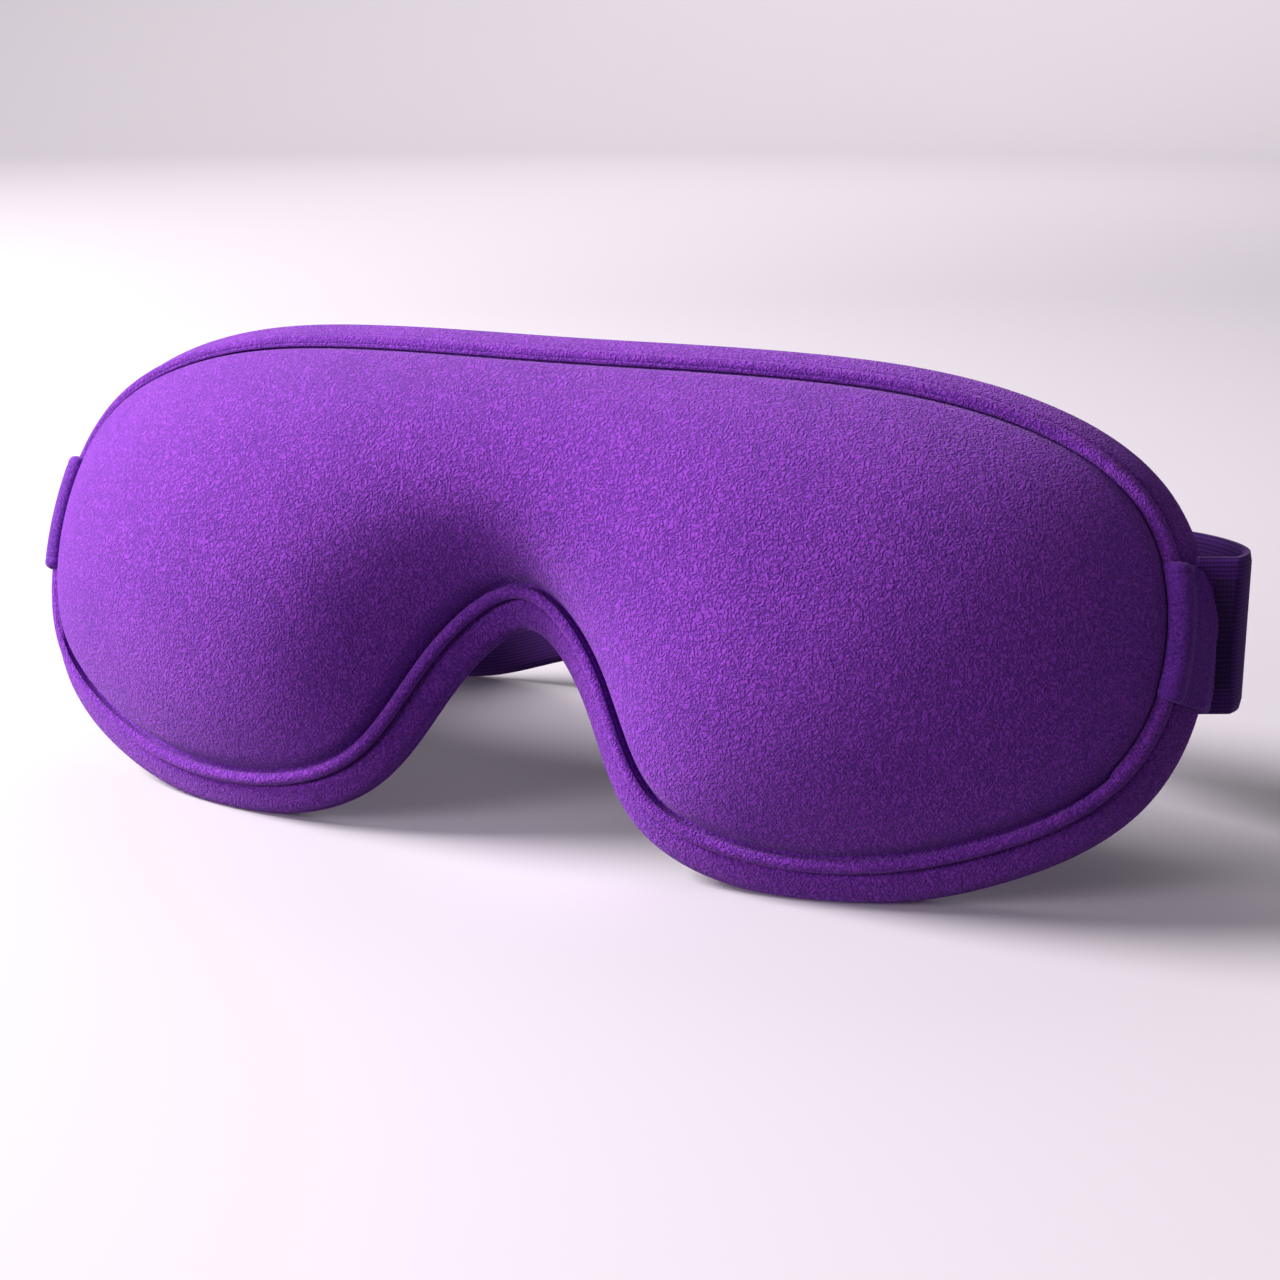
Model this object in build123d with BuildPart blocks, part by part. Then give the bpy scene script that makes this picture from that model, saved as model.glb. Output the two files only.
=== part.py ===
"""A contoured sleep eye mask: a moulded, fabric-covered foam pad with a fabric tab at
each end, and a head strap in two lengths closed by hook and loop tape.

The mask stands as it is displayed: the pad leans back on its two lower lobes, and the
strap behind it touches the ground like a prop. X runs across the face, +Y to the back
and +Z up. Millimetres.
"""

import os
from math import atan2, cos, pi, sin

from build123d import *

# The pad, in its own plane: x across, y up, z out of the front
pad_lean = 23.15
middle_x, middle_y, pad_rise = -1.837, -33.24, 44.75
wrap_radius = 367.0
dome_height, dome_run = 18.0, 30.0
contact_depth = 11.0
rim_run, rim_fall = 6.0, 7.4
binding_radius = 1.0
bead_radius, bead_run, bead_gap = 0.9, 1.3, 0.9
path_points, path_start = 96, 3.0
cover, lining = 1.0, 1.0
skin_gap = 0.15
section_places = (0, 7, 13, 18, 22, 26, 32, 40, 50, 62, 74, 85, 94, 101, 106, 109.5)
section_steps = 18

# The eye cups, hollowed into the back of the pad
cup_x, cup_y = 47.0, 4.0
cup_half_width, cup_half_height = 34.0, 25.0
cup_depth = 20.0

# The end tabs, their stitches and the felt behind them
tab_bottom, tab_top, tab_sections = -3.0, 17.8, 5
tab_cloth, tab_back_reach = 1.0, 5.0
tab_inner_edge, tab_over_bead, tab_past_bead = (0.4, 3.2), (3.9, 0.9), (4.9, -3.2)
tab_edge_drop = 0.8
felt_bottom, felt_top = -1.5, 12.5
felt_cloth, felt_overhang, felt_gap = 0.8, 0.1, 0.15
stitch_length, stitch_width, stitch_height = 1.4, 0.5, 0.35
tab_stitch_pitch, tab_stitch_count = 2.4, 8
stitch_inset = 1.0

# The head strap stands on edge, so its width is its height
strap_width, strap_cloth = 26.5, 1.6
strap_foot = 29.3
tape_foot, tape_width, tape_cloth = 5.6, 18.0, 1.1
closure_gap = 0.7
piece_gap = 0.35
right_root = (116.3, 28.4)
bend_side = (117.0, 32.6)
bend_back = (113.2, 39.2)
closure_start = (107.0, 43.0)
closure_heading = 159.0
closure_length = 52.0
grip_start, hook_start, hook_end = 13.0, 20.0, 46.0
hook_cloth = 1.4
end_binding_length, end_binding_cloth = 6.0, 2.8
left_root = (-110.5, 37.0)
strap_touch_x = -54.0


def finish(name, piece):
    """Label a finished piece and write it out."""
    piece.part.label = name
    export_step(piece.part, f"parts/{name}.step")


os.makedirs("parts", exist_ok=True)
pad_origin = (middle_x, middle_y, pad_rise)
pad = Plane(pad_origin, x_dir=(1, 0, 0), z_dir=(0, -1, 0)).rotated((-pad_lean, 0, 0))
mirror_plane = Plane.YZ.offset(middle_x)

# The groove around the dome: a straight brow, round temples and an arch over the nose
with BuildSketch(Plane.XY) as groove:
    with BuildLine():
        Spline(
            (0, 41),
            (46, 41.5),
            (80.7, 37.7),
            (100.5, 27),
            (108, 5.8),
            (102.5, -15.9),
            (84.5, -29.6),
            (51, -37.1),
            (29.6, -31),
            (17, -12),
            (0, 1.7),
            tangents=((1, 0), (-1, 0)),
        )
        mirror(about=Plane.YZ)
    make_face()
groove_face = groove.sketch.face()
groove_wire = groove_face.outer_wire()


def grown(margin):
    """The groove's outline, grown by a margin."""
    with BuildSketch(Plane.XY) as area:
        add(groove.sketch)
        offset(amount=margin, kind=Kind.ARC)
    return area.sketch.face()


def groove_depth(x, y):
    """How far a point is inside the groove, or outside it as a negative number."""
    spot = Vector(abs(x), y, 0)
    distance = groove_wire.distance_to(spot)
    return distance if groove_face.is_inside(spot) else -distance


def wrap(x):
    """The pad bends back round the face."""
    return -x * x / (2 * wrap_radius)


def front_height(x, y):
    """The dome inside the groove, and the rim that falls back outside it."""
    depth = groove_depth(x, y)
    if depth < 0:
        return wrap(x) + rim_fall / rim_run * depth
    return wrap(x) + dome_height * sin(pi / 2 * min(depth / dome_run, 1))


def back_height(x, y):
    """The face that touches the wearer, hollowed by two eye cups."""
    across = (abs(x) - cup_x) / cup_half_width
    upward = (y - cup_y) / cup_half_height
    hollow = max(0, 1 - across**2 - upward**2)
    return wrap(x) - contact_depth + cup_depth * hollow**2 * (3 - 2 * hollow)


# Heights of the front and back along each upright section of the pad
pad_area = grown(rim_run - 2 * binding_radius - skin_gap)
sections = []
for place in section_places:
    chord = (pad_area & Edge.make_line((place, -80), (place, 80))).edges()[0]
    low, high = sorted((chord.start_point().Y, chord.end_point().Y))
    heights = [low + (high - low) * step / section_steps for step in range(section_steps + 1)]
    fronts = [(y, front_height(place, y)) for y in heights]
    backs = [(y, back_height(place, y)) for y in heights]
    sections.append((place, fronts, backs))
sections = [(-place, fronts, backs) for place, fronts, backs in sections[:0:-1]] + sections


def lofted_layer(front_drop, back_rise, front_side=True, back_side=True):
    """A layer of the pad, between its front dropped and its back raised by some amounts."""
    with BuildPart() as layer:
        for place, fronts, backs in sections:
            upper_line = fronts if front_side else backs
            lower_line = backs if back_side else fronts
            upper = [(y, z - front_drop) for y, z in upper_line]
            lower = [(y, z + back_rise) for y, z in lower_line]
            origin = pad.from_local_coords((place, 0, 0))
            with BuildSketch(Plane(origin, x_dir=pad.y_dir, z_dir=pad.x_dir)):
                with BuildLine():
                    Spline(*upper)
                    Line(upper[-1], lower[-1])
                    Spline(*reversed(lower))
                    Line(lower[0], upper[0])
                make_face()
        loft()
    return layer


outer_cover = lofted_layer(0, -cover, back_side=False)
finish("outer_cover", outer_cover)
foam_core = lofted_layer(cover, lining)
finish("foam_core", foam_core)
inner_lining = lofted_layer(-lining, 0, front_side=False)
finish("inner_lining", inner_lining)


def half_outline(margin):
    """Points from the middle of the brow, round the right temple, to the middle of the arch."""
    area = grown(margin)
    middle = (area & Edge.make_line((0, -80), (0, 80))).edges()[0]
    arch, brow = sorted((middle.start_point(), middle.end_point()), key=lambda spot: spot.Y)
    wire = area.outer_wire()
    spots = [wire.position_at(step / path_points) for step in range(path_points)]
    right = [spot for spot in spots if spot.X > path_start]
    right.sort(key=lambda spot: -atan2(spot.Y - cup_y, spot.X - cup_x))
    return [brow] + right + [arch]


def rim_ring(margin, height, radius):
    """A round cord that follows the rim at a margin outside the groove."""
    points = [(spot.X, spot.Y, wrap(spot.X) + height) for spot in half_outline(margin)]
    with BuildPart() as ring:
        with BuildLine() as path:
            Spline(*[pad.from_local_coords(point) for point in points], tangents=(pad.x_dir, -pad.x_dir))
        with BuildSketch(Plane(path.line @ 0, z_dir=path.line % 0)):
            Circle(radius)
        sweep(path=path.line)
        mirror(about=mirror_plane)
    return ring


binding_margin = rim_run - binding_radius
binding_height = -(rim_fall * binding_margin / rim_run + contact_depth) / 2
edge_binding = rim_ring(binding_margin, binding_height, binding_radius)
finish("edge_binding", edge_binding)

rim_slope = atan2(rim_fall, rim_run)
bead_stand = bead_radius + bead_gap
bead_margin = bead_run + bead_stand * sin(rim_slope)
bead_height = bead_stand * cos(rim_slope) - rim_fall * bead_run / rim_run
rim_bead = rim_ring(bead_margin, bead_height, bead_radius)
finish("rim_bead", rim_bead)


def temple(y):
    """Where the groove turns at the temple, at a height on the pad."""
    chord = (groove_face & Edge.make_line((0, y, 0), (130, y, 0))).edges()[0]
    return max(chord.start_point().X, chord.end_point().X)


def across_plane(y):
    """A plane across the pad at a height, with its second axis out of the front."""
    return Plane(pad.from_local_coords((0, y, 0)), x_dir=pad.x_dir, z_dir=-pad.y_dir)


def tab_profile(y, grow):
    """Points round the rim, from over the bead to the back, that much outside it."""
    groove_x = temple(y)
    edge_x = groove_x + rim_run + skin_gap
    return [
        (groove_x + tab_inner_edge[0], wrap(groove_x) + tab_inner_edge[1] + grow),
        (groove_x + tab_over_bead[0], wrap(groove_x) + tab_over_bead[1] + grow),
        (groove_x + tab_past_bead[0], wrap(groove_x) + tab_past_bead[1] + grow),
        (edge_x + grow, wrap(edge_x) - rim_fall + tab_edge_drop),
        (edge_x + grow, wrap(edge_x) - contact_depth - skin_gap - grow),
        (edge_x - tab_back_reach, wrap(edge_x) - contact_depth - skin_gap - grow),
    ]


def up_the_tab(low, high, count):
    """Evenly spaced heights."""
    return [low + (high - low) * step / (count - 1) for step in range(count)]


with BuildPart() as right_tab:
    for y in up_the_tab(tab_bottom, tab_top, tab_sections):
        outside = tab_profile(y, tab_cloth)
        inside = tab_profile(y, 0)
        with BuildSketch(across_plane(y)):
            with BuildLine():
                Polyline(*outside, *reversed(inside), close=True)
            make_face()
    loft(ruled=True)
finish("right_tab", right_tab)

with BuildPart() as right_felt:
    for y in up_the_tab(felt_bottom, felt_top, tab_sections):
        edge_x, tab_back = tab_profile(y, tab_cloth)[-2]
        back_z = tab_back - felt_gap
        with BuildSketch(across_plane(y)):
            with BuildLine():
                Polyline(
                    (edge_x + felt_overhang, back_z),
                    (edge_x + felt_overhang, back_z - felt_cloth),
                    (edge_x - tab_back_reach, back_z - felt_cloth),
                    (edge_x - tab_back_reach, back_z),
                    close=True,
                )
            make_face()
    loft(ruled=True)
finish("right_felt", right_felt)

with BuildPart() as right_tab_stitches:
    for step in range(tab_stitch_count):
        y = (tab_bottom + tab_top) / 2 + tab_stitch_pitch * (step - (tab_stitch_count - 1) / 2)
        top_x, top_z = tab_profile(y, tab_cloth)[2]
        low_x, low_z = tab_profile(y, tab_cloth)[3]
        slope = pad.from_local_coords((low_x, y, low_z)) - pad.from_local_coords((top_x, y, top_z))
        middle = pad.from_local_coords(((top_x + low_x) / 2, y, (top_z + low_z) / 2))
        with BuildSketch(Plane(middle, x_dir=slope, z_dir=slope.cross(pad.y_dir))):
            Rectangle(stitch_length, stitch_width)
        extrude(amount=stitch_height)
finish("right_tab_stitches", right_tab_stitches)

with BuildPart() as left_tab:
    mirror(right_tab.part, about=mirror_plane)
finish("left_tab", left_tab)

with BuildPart() as left_felt:
    mirror(right_felt.part, about=mirror_plane)
finish("left_felt", left_felt)

with BuildPart() as left_tab_stitches:
    mirror(right_tab_stitches.part, about=mirror_plane)
finish("left_tab_stitches", left_tab_stitches)

# The right strap: out past the tab, round a tight bend, then straight behind the pad
strap_ground = Plane((middle_x, middle_y, strap_foot))
tape_ground = strap_ground.offset(tape_foot)
closure_ray = Vector(1, 0).rotate(Axis.Z, closure_heading)
with BuildLine(Plane.XY) as bend:
    Spline(
        right_root,
        bend_side,
        bend_back,
        closure_start,
        tangents=((0.4, 1), closure_ray),
    )
with BuildLine(Plane.XY) as right_path:
    add(bend.line)
    PolarLine(closure_start, closure_length, closure_heading)

with BuildPart() as right_strap:
    with BuildSketch(strap_ground):
        trace(right_path.line, line_width=strap_cloth)
    extrude(amount=strap_width)
finish("right_strap", right_strap)

# The closure lies flat: x along it from the bend, y up, z away from the head
closure_origin = strap_ground.from_local_coords((*closure_start, 0))
closure = Plane(closure_origin, x_dir=closure_ray, z_dir=closure_ray.rotate(Axis.Z, -90))


def closure_block(start, end, low, width, inner, thickness):
    """A flat piece of the closure, at a distance out from the middle of the right strap."""
    with BuildPart() as block:
        with BuildSketch(closure.offset(inner)):
            with Locations(((start + end) / 2, low + width / 2)):
                Rectangle(end - start, width)
        extrude(amount=thickness)
    return block


def closure_stitches(places, low, width, outer):
    """Upright rows of stitches on the closure."""
    count = int(width / tab_stitch_pitch)
    with BuildPart() as rows:
        for place in places:
            with BuildSketch(closure.offset(outer)):
                with Locations((place, low + width / 2)):
                    with GridLocations(0, tab_stitch_pitch, 1, count):
                        Rectangle(stitch_width, stitch_length)
            extrude(amount=stitch_height)
    return rows


loop_face = strap_cloth / 2 + tape_cloth
with BuildSketch(tape_ground) as both_sides:
    trace(bend.line, line_width=2 * loop_face)
    trace(bend.line, line_width=strap_cloth, mode=Mode.SUBTRACT)
with BuildPart() as loop_tape:
    with BuildSketch(tape_ground):
        add(both_sides.faces().sort_by(Axis.X)[-1])
    extrude(amount=tape_width)
    with BuildSketch(closure.offset(strap_cloth / 2)):
        with Locations((closure_length / 2, tape_foot + tape_width / 2)):
            Rectangle(closure_length, tape_width)
    extrude(amount=tape_cloth)
finish("loop_tape", loop_tape)

loop_stitches = closure_stitches(
    (stitch_inset, closure_length - stitch_inset), tape_foot, tape_width, loop_face
)
finish("loop_stitches", loop_stitches)

# The hook side faces the loop tape across a small gap
hook_face = loop_face + closure_gap
tab_face = hook_face + tape_cloth
elastic_middle = tab_face + hook_cloth / 2
hook_tape = closure_block(hook_start, hook_end, tape_foot, tape_width, hook_face, tape_cloth)
finish("hook_tape", hook_tape)
hook_tab = closure_block(grip_start, hook_end, 0, strap_width, tab_face, hook_cloth)
finish("hook_tab", hook_tab)
hook_stitches = closure_stitches(
    (hook_start + stitch_inset, hook_end - stitch_inset), tape_foot, tape_width, tab_face + hook_cloth
)
finish("hook_stitches", hook_stitches)

end_start = hook_end + piece_gap
end_stop = end_start + end_binding_length
end_face = elastic_middle - end_binding_cloth / 2
end_binding = closure_block(end_start, end_stop, 0, strap_width, end_face, end_binding_cloth)
finish("end_binding", end_binding)
end_stitches = closure_stitches(
    ((end_start + end_stop) / 2,), tape_foot, tape_width, end_face + end_binding_cloth
)
finish("end_stitches", end_stitches)

# The long left strap: from the closure, down to the ground behind the pad, up to the left tab
elastic_end = closure.from_local_coords((end_stop + piece_gap, 0, elastic_middle))
elastic_start = (elastic_end.X - middle_x, elastic_end.Y - middle_y)
with BuildLine(Plane.XY) as left_path:
    Spline(
        elastic_start,
        (0, 77.5),
        (strap_touch_x, 83),
        (-90, 64),
        left_root,
        tangents=(closure_ray, (-0.3, -1)),
    )
left_foot = [(-112, 30.5), (-84, 13.5), (strap_touch_x, 0)]
right_foot = [(strap_touch_x, 0), (-33, 5.5), (0, 15.5), (elastic_start[0] + 1, strap_foot)]
with BuildPart() as left_strap:
    with BuildSketch(Plane((middle_x, middle_y, 0))):
        trace(left_path.line, line_width=strap_cloth)
    extrude(amount=strap_foot + 2 * strap_width)
    with BuildSketch(Plane((middle_x, 2 * pad_rise, 0), x_dir=(1, 0, 0), z_dir=(0, -1, 0))):
        with BuildLine():
            Spline(*left_foot, tangents=((1, -0.6), (1, 0)))
            Spline(*right_foot, tangents=((1, 0), (1, 0)))
            raised_left = [(x, y + strap_width) for x, y in left_foot]
            raised_right = [(x, y + strap_width) for x, y in right_foot]
            Spline(*raised_left, tangents=((1, -0.6), (1, 0)))
            Spline(*raised_right, tangents=((1, 0), (1, 0)))
            Line(left_foot[0], raised_left[0])
            Line(right_foot[-1], raised_right[-1])
        make_face()
    extrude(amount=4 * pad_rise, mode=Mode.INTERSECT)
finish("left_strap", left_strap)
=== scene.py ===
"""The looks of a contoured sleep eye mask: moulded pad, beaded rim, end tabs and head strap.

Shapes are worked out in millimetres, in the pad's own plane (x across, y up, z out of the
front) or in plan (x across, y to the back), and turned into the row frame's metres.
"""

from math import cos, pi, radians, sin, tan

import bmesh
import bpy
import numpy as np
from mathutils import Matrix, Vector


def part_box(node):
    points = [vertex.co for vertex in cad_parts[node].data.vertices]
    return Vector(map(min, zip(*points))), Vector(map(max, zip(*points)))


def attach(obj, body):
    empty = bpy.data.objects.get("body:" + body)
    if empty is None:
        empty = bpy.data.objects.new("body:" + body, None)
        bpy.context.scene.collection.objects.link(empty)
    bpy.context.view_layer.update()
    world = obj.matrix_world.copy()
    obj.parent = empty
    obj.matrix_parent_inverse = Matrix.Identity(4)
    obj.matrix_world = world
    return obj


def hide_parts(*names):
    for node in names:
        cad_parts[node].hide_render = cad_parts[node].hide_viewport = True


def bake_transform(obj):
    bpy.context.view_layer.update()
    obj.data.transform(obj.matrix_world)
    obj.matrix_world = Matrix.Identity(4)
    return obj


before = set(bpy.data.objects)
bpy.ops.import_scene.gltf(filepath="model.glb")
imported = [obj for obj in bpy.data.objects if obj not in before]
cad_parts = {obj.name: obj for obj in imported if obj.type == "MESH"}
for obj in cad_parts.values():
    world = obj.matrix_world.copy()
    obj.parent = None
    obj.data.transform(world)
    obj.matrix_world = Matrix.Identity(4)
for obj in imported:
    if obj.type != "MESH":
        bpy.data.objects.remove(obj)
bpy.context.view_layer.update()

MM = 0.001
PAD_LEAN = radians(23.15)
WRAP_RADIUS = 367.0
DOME_HEIGHT = 18.0
DOME_SPREAD = 22.0
CONTACT_Z = -11.0
GROOVE_DIP = 2.1
GROUND_GAP = 0.05

# The pad's middle is found from the cover: halfway across it, above and behind its low front
cover_low, cover_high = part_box("outer_cover")
PAD_ORIGIN = np.array(
    [
        (cover_low.x + cover_high.x) / 2 / MM,
        cover_low.y / MM + 18.257,
        cover_low.z / MM + 41.572,
    ]
)
PAD_Y = np.array([0, sin(PAD_LEAN), cos(PAD_LEAN)])
PAD_Z = np.array([0, -cos(PAD_LEAN), sin(PAD_LEAN)])


def from_pad(points):
    """Pad millimetres to row-frame metres, with the cloth flattened where it rests on the ground."""
    points = np.asarray(points, float)
    across = points[..., :1] * np.array([1.0, 0, 0])
    placed = PAD_ORIGIN + across + points[..., 1:2] * PAD_Y + points[..., 2:3] * PAD_Z
    placed[..., 2] = GROUND_GAP + soft_above(placed[..., 2] - GROUND_GAP)
    return placed * MM


def soft_above(level):
    """Levels kept above zero, with a gentle start."""
    return 0.5 * (level + np.sqrt(level**2 + 0.3**2))


def from_plan(points):
    """Plan millimetres, from the pad's middle and up from the ground, to row-frame metres."""
    return (np.asarray(points, float) + np.array([PAD_ORIGIN[0], PAD_ORIGIN[1], 0])) * MM


def wrap(x):
    return -x * x / (2 * WRAP_RADIUS)


def ease(value):
    value = np.clip(value, 0, 1)
    return value * value * (3 - 2 * value)


# ---------------------------------------------------------------- curves


def smooth_curve(points, count, ends=None):
    """Points evenly spaced on a cubic spline: closed, or open between two end directions."""
    points = np.asarray(points, float)
    closed = ends is None
    size = len(points)
    following = np.roll(points, -1, axis=0)
    gaps = np.linalg.norm(following - points, axis=1)
    system = np.zeros((size, size))
    right = np.zeros(points.shape)
    for i in range(size):
        if not closed and i in (0, size - 1):
            system[i, i] = 1
            direction = np.asarray(ends[0 if i == 0 else 1], float)
            right[i] = direction / np.linalg.norm(direction)
            continue
        before, after = gaps[i - 1], gaps[i]
        system[i, i - 1] += 1 / before
        system[i, i] += 2 / before + 2 / after
        system[i, (i + 1) % size] += 1 / after
        right[i] = 3 * (points[i] - points[i - 1]) / before**2
        right[i] += 3 * (following[i] - points[i]) / after**2
    slopes = np.linalg.solve(system, right)
    dense = []
    for i in range(size if closed else size - 1):
        j = (i + 1) % size
        u = np.linspace(0, 1, 80, endpoint=False)[:, None]
        dense.append(
            (2 * u**3 - 3 * u**2 + 1) * points[i]
            + (u**3 - 2 * u**2 + u) * gaps[i] * slopes[i]
            + (3 * u**2 - 2 * u**3) * points[j]
            + (u**3 - u**2) * gaps[i] * slopes[j]
        )
    dense = np.concatenate(dense + [points[:1] if closed else points[-1:]])
    return evenly(dense, count, closed)


def evenly(line, count, closed=False):
    """The same line with evenly spaced points."""
    steps = np.linalg.norm(np.diff(line, axis=0), axis=1)
    along = np.concatenate([[0], np.cumsum(steps)])
    wanted = np.linspace(0, along[-1], count, endpoint=not closed)
    return np.stack([np.interp(wanted, along, line[:, k]) for k in range(line.shape[1])], 1)


def directions(line, closed=False):
    """Unit tangents of a line of points."""
    if closed:
        step = np.roll(line, -1, axis=0) - np.roll(line, 1, axis=0)
    else:
        step = np.gradient(line, axis=0)
    return step / np.linalg.norm(step, axis=1, keepdims=True)


# ---------------------------------------------------------------- meshes


def add_mesh(name, vertices, faces, uvs=None):
    """A smooth-shaded mesh object from row-frame metres."""
    mesh = bpy.data.meshes.new(name)
    mesh.from_pydata(np.asarray(vertices).tolist(), [], [tuple(map(int, f)) for f in faces])
    mesh.validate()
    if uvs is not None:
        layer = mesh.uv_layers.new(name="lay")
        corner = np.zeros(len(mesh.loops), int)
        mesh.loops.foreach_get("vertex_index", corner)
        layer.data.foreach_set("uv", np.asarray(uvs, np.float32)[corner].ravel())
    mesh.polygons.foreach_set("use_smooth", [True] * len(mesh.polygons))
    mesh.update()
    obj = bpy.data.objects.new(name, mesh)
    bpy.context.scene.collection.objects.link(obj)
    return obj


def ring_faces(rows, count, first=0, flip=False):
    """Quads between neighbouring rings of the same count, outermost ring first."""
    faces = []
    for r in range(rows - 1):
        outer = first + r * count
        inner = outer + count
        for k in range(count):
            n = (k + 1) % count
            quad = (inner + k, inner + n, outer + n, outer + k)
            faces.append(quad[::-1] if flip else quad)
    return faces


def tube_faces(rings, count, closed=False):
    """Quads round a row of closed cross-sections, capped at both ends unless closed."""
    faces = []
    for r in range(rings if closed else rings - 1):
        here, there = r * count, (r + 1) % rings * count
        for k in range(count):
            n = (k + 1) % count
            faces.append((here + k, here + n, there + n, there + k))
    if not closed:
        faces.append(tuple(range(count))[::-1])
        faces.append(tuple((rings - 1) * count + k for k in range(count)))
    return faces


def grid_faces(rows, columns):
    faces = []
    for r in range(rows - 1):
        for c in range(columns - 1):
            here = r * columns + c
            faces.append((here, here + 1, here + columns + 1, here + columns))
    return faces


def outward(obj):
    """Turn the faces of a closed piece outward."""
    work = bmesh.new()
    work.from_mesh(obj.data)
    bmesh.ops.recalc_face_normals(work, faces=work.faces)
    work.to_mesh(obj.data)
    work.free()
    return obj


def thicken(obj, thickness):
    """Give a sheet its cloth thickness, inward from its face, and keep the result."""
    modifier = obj.modifiers.new("cloth", "SOLIDIFY")
    modifier.thickness = thickness * MM
    modifier.offset = -1.0
    modifier.use_even_offset = False
    modifier.use_quality_normals = True
    apply_modifiers(obj)
    return obj


def apply_modifiers(obj):
    depsgraph = bpy.context.evaluated_depsgraph_get()
    mesh = bpy.data.meshes.new_from_object(obj.evaluated_get(depsgraph), depsgraph=depsgraph)
    obj.modifiers.clear()
    obj.data = mesh


# ---------------------------------------------------------------- the pad's outline and faces

ACROSS, UPRIGHT = 190, 48
RING_COUNT = 2 * (ACROSS + UPRIGHT)
HALF_OUTLINE = [
    (0, 41),
    (46, 41.5),
    (80.7, 37.7),
    (100.5, 27),
    (108, 5.8),
    (102.5, -15.9),
    (84.5, -29.6),
    (51, -37.1),
    (29.6, -31),
    (17, -12),
    (0, 1.7),
]


def pad_outline():
    """The groove's outline clockwise from its upper left corner, with as many points on each side."""
    left_half = [(-x, y) for x, y in HALF_OUTLINE[-2:0:-1]]
    line = smooth_curve(HALF_OUTLINE + left_half, 6000)
    corners = []
    for target in ((-97, 30), (97, 30), (97, -21), (-97, -21)):
        corners.append(int(np.argmin(np.linalg.norm(line - np.array(target), axis=1))))
    sides = []
    for k, count in enumerate((ACROSS, UPRIGHT, ACROSS, UPRIGHT)):
        start, stop = corners[k], corners[(k + 1) % 4]
        picked = np.arange(start, stop if stop > start else stop + len(line)) % len(line)
        sides.append(evenly(line[picked], count + 1)[:-1])
    return np.concatenate(sides)


outline = pad_outline()
tangent = directions(outline, closed=True)
normal = np.stack([-tangent[:, 1], tangent[:, 0]], 1)

INNER_STEPS = (0, 0.25, 0.55, 0.9, 1.35, 1.9, 2.5, 3.1)


def disc():
    """Points and quads of the area inside the outline: rings at its edge, then a grid."""
    rings = [outline - step * normal for step in INNER_STEPS]
    edge = rings[-1]
    grid = np.zeros((UPRIGHT + 1, ACROSS + 1, 2))
    across = np.arange(ACROSS + 1)
    up = np.arange(UPRIGHT + 1)
    grid[0] = edge[across]
    grid[:, -1] = edge[ACROSS + up]
    grid[-1] = edge[ACROSS + UPRIGHT + (ACROSS - across)]
    grid[:, 0] = edge[(2 * ACROSS + UPRIGHT + (UPRIGHT - up)) % RING_COUNT]
    u = np.linspace(0, 1, ACROSS + 1)[None, :, None]
    v = np.linspace(0, 1, UPRIGHT + 1)[:, None, None]
    top, bottom = grid[0][None], grid[-1][None]
    left, right = grid[:, 0][:, None], grid[:, -1][:, None]
    corner_mix = (1 - u) * (1 - v) * grid[0, 0] + u * (1 - v) * grid[0, -1]
    corner_mix = corner_mix + (1 - u) * v * grid[-1, 0] + u * v * grid[-1, -1]
    filled = (1 - v) * top + v * bottom + (1 - u) * left + u * right - corner_mix
    grid[1:-1, 1:-1] = filled[1:-1, 1:-1]
    for _ in range(24):
        mean = grid[:-2, 1:-1] + grid[2:, 1:-1] + grid[1:-1, :-2] + grid[1:-1, 2:]
        grid[1:-1, 1:-1] = mean / 4
    last = (len(rings) - 1) * RING_COUNT
    index = np.zeros(grid.shape[:2], int)
    index[0] = last + across
    index[:, -1] = last + ACROSS + up
    index[-1] = last + ACROSS + UPRIGHT + (ACROSS - across)
    index[:, 0] = last + (2 * ACROSS + UPRIGHT + (UPRIGHT - up)) % RING_COUNT
    fresh = len(rings) * RING_COUNT
    index[1:-1, 1:-1] = fresh + np.arange((UPRIGHT - 1) * (ACROSS - 1)).reshape(UPRIGHT - 1, -1)
    points = np.concatenate(rings + [grid[1:-1, 1:-1].reshape(-1, 2)])
    faces = ring_faces(len(rings), RING_COUNT)
    for r in range(UPRIGHT):
        for c in range(ACROSS):
            quad = (index[r, c], index[r + 1, c], index[r + 1, c + 1], index[r, c + 1])
            faces.append(quad)
    inside = np.concatenate(
        [np.full(RING_COUNT, step) for step in INNER_STEPS]
        + [np.full((UPRIGHT - 1) * (ACROSS - 1), 9.0)]
    )
    return points, faces, inside


disc_points, disc_faces, disc_inside = disc()


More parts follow.
